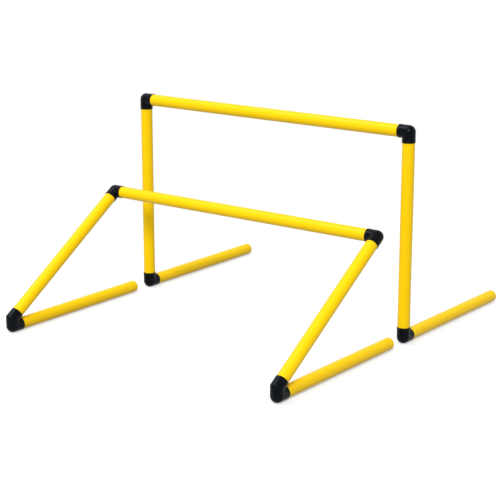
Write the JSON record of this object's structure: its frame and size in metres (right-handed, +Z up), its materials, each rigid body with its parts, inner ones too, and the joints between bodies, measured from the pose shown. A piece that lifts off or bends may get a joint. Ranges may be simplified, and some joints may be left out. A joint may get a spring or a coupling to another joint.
{
  "type": "speed hurdle",
  "caption": "Tall and low free-standing training hurdles of yellow plastic tube in black push-on connectors, with feet and legs that turn in their sockets to fold flat.",
  "frame": {"origin": "on the floor, midway between the uprights of the tall hurdle, under its crossbar", "axes": "+Z up, +X along the crossbars to the right as a runner sees them from the low hurdle's side, +Y back along the feet"},
  "size_m": [0.751, 0.8629, 0.474],
  "materials": {
    "yellow_tube": "semi-gloss extruded plastic tube",
    "black_connector": "satin moulded plastic",
    "yellow_plug": "moulded plastic, a little duller than the tube"
  },
  "bodies": {
    "tall_bar": {"tall_crossbar": "yellow_tube"},
    "low_bar": {"low_crossbar": "yellow_tube"},
    "tall_left_leg": {"tall_left_top_elbow": "black_connector", "tall_left_upright": "yellow_tube"},
    "tall_left_foot": {"tall_left_base_elbow": "black_connector", "tall_left_foot_tube": "yellow_tube", "tall_left_foot_plug": "yellow_plug"},
    "tall_right_leg": {"tall_right_top_elbow": "black_connector", "tall_right_upright": "yellow_tube"},
    "tall_right_foot": {"tall_right_base_elbow": "black_connector", "tall_right_foot_tube": "yellow_tube", "tall_right_foot_plug": "yellow_plug"},
    "low_left_leg": {"low_left_top_elbow": "black_connector", "low_left_upright": "yellow_tube"},
    "low_left_foot": {"low_left_base_connector": "black_connector", "low_left_foot_tube": "yellow_tube", "low_left_foot_plug": "yellow_plug"},
    "low_right_leg": {"low_right_top_elbow": "black_connector", "low_right_upright": "yellow_tube"},
    "low_right_foot": {"low_right_base_connector": "black_connector", "low_right_foot_tube": "yellow_tube", "low_right_foot_plug": "yellow_plug"}
  },
  "joints": [
    {"name": "hurdle_spacing", "type": "slide", "parent": "tall_bar", "child": "low_bar", "axis": [0, -1, 0], "range_m": [0, 0.8]},
    {"name": "tall_left_leg_swing", "type": "hinge", "parent": "tall_bar", "child": "tall_left_leg", "pos_m": [-0.361, 0, 0.4595], "axis": [1, 0, 0], "range_deg": [0, 90]},
    {"name": "tall_left_foot_turn", "type": "hinge", "parent": "tall_left_leg", "child": "tall_left_foot", "pos_m": [-0.361, 0, 0.0145], "axis": [0, 0, 1], "range_deg": [-60, 90]},
    {"name": "tall_right_leg_swing", "type": "hinge", "parent": "tall_bar", "child": "tall_right_leg", "pos_m": [0.361, 0, 0.4595], "axis": [1, 0, 0], "range_deg": [0, 90]},
    {"name": "tall_right_foot_turn", "type": "hinge", "parent": "tall_right_leg", "child": "tall_right_foot", "pos_m": [0.361, 0, 0.0145], "axis": [0, 0, 1], "range_deg": [-90, 60]},
    {"name": "low_left_leg_swing", "type": "hinge", "parent": "low_bar", "child": "low_left_leg", "pos_m": [-0.361, -0.11509, 0.25831], "axis": [-1, 0, 0], "range_deg": [0, 90]},
    {"name": "low_left_foot_turn", "type": "hinge", "parent": "low_left_leg", "child": "low_left_foot", "pos_m": [-0.361, -0.48137, 0.0145], "axis": [0, 0.8324, 0.5541], "range_deg": [-90, 90]},
    {"name": "low_right_leg_swing", "type": "hinge", "parent": "low_bar", "child": "low_right_leg", "pos_m": [0.361, -0.11509, 0.25831], "axis": [-1, 0, 0], "range_deg": [0, 90]},
    {"name": "low_right_foot_turn", "type": "hinge", "parent": "low_right_leg", "child": "low_right_foot", "pos_m": [0.361, -0.48137, 0.0145], "axis": [0, 0.8324, 0.5541], "range_deg": [-90, 90]}
  ]
}
